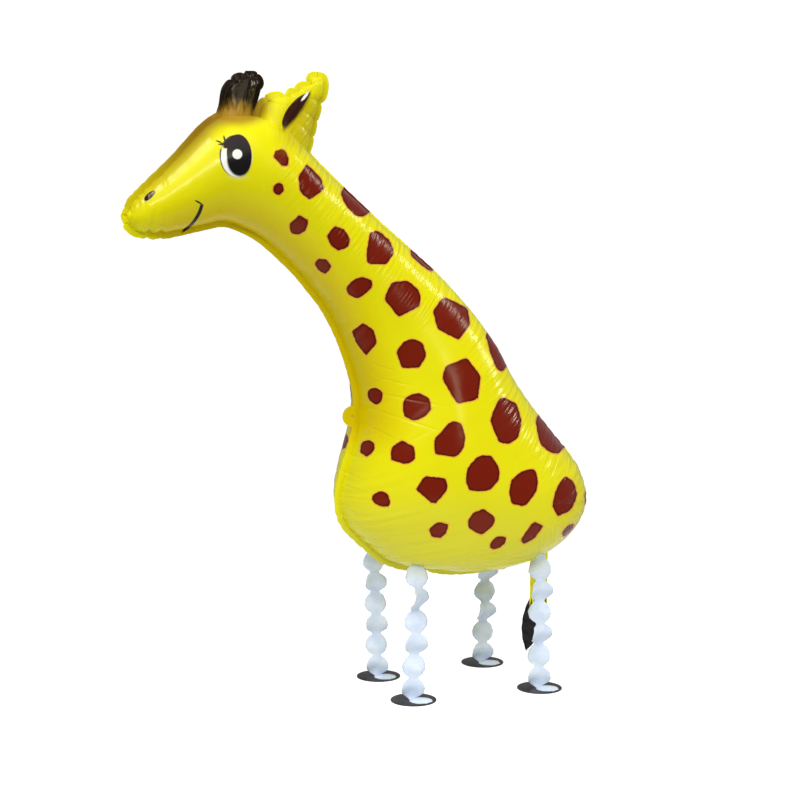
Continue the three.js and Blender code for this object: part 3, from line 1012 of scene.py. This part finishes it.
# a leg's strip step by step, as (middle, the way its width runs, width, bulge): one link lies on the
# foot, and the others climb from its fold in a zigzag to the belly
def legSteps(leg, one, x, y, layZ):
    first = math.radians(one["turns"][0])
    layAcross = np.array([math.cos(first), math.sin(first), 0])
    layAlong = np.array([layAcross[1], -layAcross[0], 0])
    foldAt = np.array([x, y, layZ]) + layAlong * (leg["glueOffset"] - leg["linkPitch"] / 2) * mm
    steps = []
    for k in range(leg["stepsPerLink"], 0, -1):
        share = k / leg["stepsPerLink"]
        steps.append((foldAt + layAlong * share * leg["linkPitch"] * mm, layAcross,
                      linkWidth(min(share, leg["freeEndAt"])), 0))
    inward = math.copysign(one.get("inward", 0), y) * mm
    topZ = bellyAbove(x + one["lean"] * mm, y - inward) + leg["tuck"] * mm
    lastPlace = (topZ - layZ) / (leg["linkPitch"] * mm)
    for k in range(1, int(lastPlace * leg["stepsPerLink"])):
        place = k / leg["stepsPerLink"]
        turn = facingOf(one["turns"], place)
        across = np.array([math.cos(turn), math.sin(turn), 0])
        along = np.array([across[1], -across[0], 0])
        swing = leg["foldSwing"] / 2 * (1 - math.cos(math.pi * place)) * mm
        middle = foldAt + along * swing
        middle[0] += one["lean"] * mm * place / lastPlace
        middle[1] -= inward * (place / lastPlace) ** 3
        middle -= along * leg["zigzag"] * mm * math.cos(2 * math.pi * place) * min(place, 1)
        middle[2] = layZ + place * leg["linkPitch"] * mm
        bulge = leg["cup"] * math.sin(math.pi * (place % 1)) ** 2 * (1 if int(place) % 2 else -1)
        width = linkWidth(place % 1)
        if place > int(lastPlace) and lastPlace % 1 < 0.5:
            width = leg["neckWidth"]
        steps.append((middle, across, width, bulge * mm))
    return steps


# the strip's points across each step, cupped, ragged at the edges and a little crinkled
def stripPoints(leg, steps, chance):
    points = np.zeros((len(steps), leg["stepsAcross"] + 1, 3))
    along = np.gradient(np.array([step[0] for step in steps]), axis=0)
    wave = chance.uniform(-1, 1, (len(steps), 3))
    for i, (middle, across, width, bulge) in enumerate(steps):
        outward = np.cross(along[i], across)
        outward /= max(np.linalg.norm(outward), 1e-9)
        for j in range(leg["stepsAcross"] + 1):
            aside = 2 * j / leg["stepsAcross"] - 1
            ragged = 1 + leg["ragged"] * wave[i, 2 * (j > leg["stepsAcross"] / 2)]
            points[i, j] = middle + across * aside * ragged * width / 2 * mm + outward * bulge * aside * aside
            points[i, j] += outward * wave[i, j % 3] * leg["crinkle"] * mm
    return points


def paperLeg(name, paint, seed):
    leg = paperLegs
    low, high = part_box("foot_" + name)
    layZ = high.z + (leg["footGap"] + leg["thickness"] / 2) * mm
    steps = legSteps(leg, leg["legs"][name], (low.x + high.x) / 2, (low.y + high.y) / 2, layZ)
    points = stripPoints(leg, steps, np.random.default_rng(seed))
    points[:, :, 2] = np.maximum(points[:, :, 2], layZ)
    piece = bentSheet("paper_leg_" + name, points)
    thicken(piece, leg["thickness"])
    bpy.ops.object.shade_smooth()
    piece.data.materials.append(paint)
    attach(piece, "root")
    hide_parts("leg_" + name)


paperInk = {"shade": tint(208, 222, 242), "light": tint(226, 236, 248), "fibre": tint(184, 198, 224)}


def whitePaper():
    material, tree, shader = newMaterial("crepe_paper")
    where = addNode(tree, "ShaderNodeTexCoord", {}).outputs["Object"]
    fibres = noise(tree, where, 700.0, 5.0, 0.7)
    cloud = noise(tree, where, 45.0)
    colour = blendColours(tree, fade(tree, cloud, 0.3, 0.7), paperInk["shade"], paperInk["light"])
    colour = blendColours(tree, fade(tree, fibres, 0.35, 0.65, 0.0, 0.3), colour, paperInk["fibre"])
    crumpled = bumpOf(tree, cloud, 0.0012, 0.6)
    feed(tree, shader, {"Base Color": colour, "Roughness": 0.85, "Sheen Weight": 0.15,
                        "Normal": bumpOf(tree, fibres, 0.0003, 0.6, crumpled)})
    return material


paper = whitePaper()
for seed, name in enumerate(paperLegs["legs"]):
    paperLeg(name, paper, seed + 20)
print("legs folded")

cardFoot = {"sides": 96, "edgeRound": 0.35}
cardInk = {"black": tint(34, 33, 38), "scuff": tint(72, 73, 80)}


def blackCard():
    material, tree, shader = newMaterial("black_card")
    where = addNode(tree, "ShaderNodeTexCoord", {}).outputs["Object"]
    grain = noise(tree, where, 420.0, 4.0, 0.6)
    scuffs = noise(tree, where, 38.0, 5.0, 0.65)
    colour = blendColours(tree, fade(tree, scuffs, 0.45, 0.75), cardInk["black"], cardInk["scuff"])
    feed(tree, shader, {"Base Color": colour, "Roughness": fade(tree, scuffs, 0.3, 0.7, 0.3, 0.48),
                        "Normal": bumpOf(tree, grain, 0.0002, 0.4)})
    return material


def makeFoot(name, paint):
    low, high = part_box("foot_" + name)
    putDown()
    bpy.ops.mesh.primitive_cylinder_add(
        vertices=cardFoot["sides"], radius=(high.x - low.x) / 2, depth=high.z - low.z,
        location=(low + high) / 2)
    piece = bpy.context.object
    piece.name = "card_foot_" + name
    bpy.ops.object.transform_apply(location=True, rotation=False, scale=False)
    bevel = piece.modifiers.new("edge", "BEVEL")
    bevel.width = cardFoot["edgeRound"] * mm
    bevel.segments = 2
    applyAll(piece)
    bpy.ops.object.shade_smooth_by_angle(angle=math.radians(50))
    piece.data.materials.append(paint)
    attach(piece, "root")
    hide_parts("foot_" + name)


card = blackCard()
for name in paperLegs["legs"]:
    makeFoot(name, card)
print("feet cut")

# the tail: a crinkled foil strap that widens into a black tuft
tailStrip = {
    "rows": 90,
    "across": 18,
    "width": 30,
    "tuftWidth": 48,
    "tuftShare": 0.52,
    "rearShare": 0.32,
    "tipShare": 0.75,  # how far forward the tuft's tip is, as a share of its width
    "bladeCurve": 16,
    "curveSteps": 30,
    "thickness": 0.4,
    "wave": {"high": 1.4, "long": 9, "turn": 3},
    "crinkle": {"high": 0.5, "long": 2.7, "turn": 7},
}


def curveThrough(start, control, end, count):
    share = np.linspace(0, 1, count)[:, None]
    start, control, end = (np.array(p, float) for p in (start, control, end))
    return (1 - share) ** 2 * start + 2 * share * (1 - share) * control + share**2 * end


def makeTail(paint):
    strip = tailStrip
    low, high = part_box("tail")
    long = (high.z - low.z) / mm
    rear = high.x / mm
    front = rear - strip["width"]
    tip = low.z / mm
    bulge = tip + long * strip["tuftShare"] / 2
    tuftTip = (rear - strip["tipShare"] * strip["tuftWidth"], tip)
    frontLine = np.vstack([[front, high.z / mm], curveThrough(
        (front, tip + long * strip["tuftShare"]), (front - strip["tuftWidth"] / 2, bulge),
        tuftTip, strip["curveSteps"])])
    rearLine = np.vstack([[rear, high.z / mm], curveThrough(
        (rear, tip + long * strip["rearShare"]), (rear - strip["tuftWidth"] / 4, tip + strip["bladeCurve"]),
        tuftTip, strip["curveSteps"])])
    heights = np.linspace(high.z / mm, tip, strip["rows"] + 1)
    left = np.interp(-heights, -frontLine[:, 1], frontLine[:, 0])
    right = np.interp(-heights, -rearLine[:, 1], rearLine[:, 0])
    share = np.linspace(0, 1, strip["across"] + 1)
    points = np.zeros((strip["rows"] + 1, strip["across"] + 1, 3))
    points[:, :, 0] = left[:, None] + (right - left)[:, None] * share
    points[:, :, 2] = heights[:, None]
    wave, crinkle = strip["wave"], strip["crinkle"]
    rolling = np.sin(heights[:, None] / wave["long"] + wave["turn"] * share)
    points[:, :, 1] = wave["high"] * rolling * np.sin(math.pi * share)
    points[:, :, 1] += crinkle["high"] * np.sin(heights[:, None] / crinkle["long"] + crinkle["turn"] * share)
    piece = bentSheet("foil_tail", points * mm)
    thicken(piece, strip["thickness"])
    bpy.ops.object.shade_smooth_by_angle(angle=math.radians(40))
    piece.data.materials.append(paint)
    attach(piece, "root")
    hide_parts("tail")


# the heights in metres where the tail's yellow turns dark brown and then black, with jagged edges
tailInk = {"strands": (320, 60, 14), "jag": 0.05, "brown": (0.108, 0.116), "black": (0.1, 0.108)}


def tailFoil():
    material, tree, shader = newMaterial("tail_foil")
    where = addNode(tree, "ShaderNodeTexCoord", {}).outputs["Object"]
    height = addNode(tree, "ShaderNodeSeparateXYZ", {0: where}).outputs[2]
    strands = addNode(tree, "ShaderNodeMapping", {"Vector": where, "Scale": tailInk["strands"]})
    jag = noise(tree, strands.outputs[0], 1.0, 4.0)
    wander = reckon(tree, "MULTIPLY", reckon(tree, "SUBTRACT", jag, 0.5), tailInk["jag"])
    line = reckon(tree, "ADD", height, wander)
    colour = foilInkAndPaintedLight["yellow"]
    for part, ink in (("brown", "streak"), ("black", "tuft")):
        colour = blendColours(tree, fade(tree, line, *tailInk[part], 1.0, 0.0), colour, foilInkAndPaintedLight[ink])
    crinkled = bumpOf(tree, noise(tree, where, 160.0, 4.0), 0.0006, 0.5)
    feed(tree, shader, {"Base Color": colour, "Roughness": 0.28, "Specular IOR Level": 0.25,
                        "Normal": crinkled})
    return material


makeTail(tailFoil())
print("tail cut")

# a white studio: a broad soft key from above the camera, and small boxes for the long glints
studio = {
    "floorRadius": 0.9,
    "floor": tint(243, 243, 243),
    "speckle": tint(248, 248, 248),
    "floorGlow": 0.46,
    "sky": 0.29,
    "backdrop": 1.05,
    "key": {"azimuth": -38, "elevation": 52, "away": 4, "strength": 1.55, "angle": 60},
    "lamps": [
        {"name": "overhead_box", "azimuth": -95, "elevation": 52, "away": 2.4,
         "size": (1.2, 0.28), "power": 14},
        {"name": "head_box", "azimuth": -38, "elevation": 30, "away": 2.6,
         "size": (0.9, 0.15), "power": 12},
        {"name": "front_strip", "azimuth": 14, "elevation": 24, "away": 3.0,
         "size": (0.3, 1.2), "power": 8},
        {"name": "rear_rim", "azimuth": 74, "elevation": 32, "away": 2.6,
         "size": (0.26, 1.2), "power": 23},
    ],
    "aim": (0, 0, 0.5),
}


def outwardFrom(azimuth, elevation):
    turned, raised = math.radians(azimuth), math.radians(elevation)
    level = math.cos(raised)
    return Vector((math.sin(turned) * level, -math.cos(turned) * level, math.sin(raised)))


def hangLight(data, azimuth, elevation, away):
    light = bpy.data.objects.new(data.name, data)
    bpy.context.scene.collection.objects.link(light)
    outward = outwardFrom(azimuth, elevation)
    light.location = Vector(studio["aim"]) + outward * away
    light.rotation_euler = outward.to_track_quat("Z", "Y").to_euler()


def layFloor():
    putDown()
    bpy.ops.mesh.primitive_circle_add(vertices=64, radius=studio["floorRadius"], fill_type="NGON")
    floor = bpy.context.object
    floor.name = "studio_floor"
    material, tree, shader = newMaterial("pale_floor")
    where = addNode(tree, "ShaderNodeTexCoord", {}).outputs["Object"]
    speckle = noise(tree, where, 30.0)
    colour = blendColours(tree, fade(tree, speckle, 0.3, 0.7), studio["floor"], studio["speckle"])
    seen = addNode(tree, "ShaderNodeLightPath", {}).outputs["Is Camera Ray"]
    feed(tree, shader, {"Base Color": colour, "Roughness": 0.85, "Specular IOR Level": 0.1,
                        "Emission Color": (1, 1, 1, 1),
                        "Emission Strength": reckon(tree, "MULTIPLY", seen, studio["floorGlow"])})
    floor.data.materials.append(material)


def lightStudio():
    world = bpy.data.worlds.new("studio_sky")
    bpy.context.scene.world = world
    world.use_nodes = True
    tree = world.node_tree
    sky = tree.nodes["Background"]
    feed(tree, sky, {"Color": (1, 1, 1, 1), "Strength": studio["sky"]})
    paper = addNode(tree, "ShaderNodeBackground", {
        "Color": (1, 1, 1, 1), "Strength": studio["backdrop"]})
    seen = addNode(tree, "ShaderNodeLightPath", {}).outputs["Is Camera Ray"]
    both = addNode(tree, "ShaderNodeMixShader", {0: seen, 1: sky.outputs[0], 2: paper.outputs[0]})
    tree.links.new(both.outputs[0], tree.nodes["World Output"].inputs["Surface"])
    key = bpy.data.lights.new("soft_key", "SUN")
    key.energy = studio["key"]["strength"]
    key.angle = math.radians(studio["key"]["angle"])
    hangLight(key, studio["key"]["azimuth"], studio["key"]["elevation"], studio["key"]["away"])
    for lamp in studio["lamps"]:
        data = bpy.data.lights.new(lamp["name"], "AREA")
        data.shape = "RECTANGLE"
        data.size, data.size_y = lamp["size"]
        data.energy = lamp["power"]
        hangLight(data, lamp["azimuth"], lamp["elevation"], lamp["away"])


layFloor()
lightStudio()
bpy.context.scene.view_settings.view_transform = "Standard"
print("studio lit")
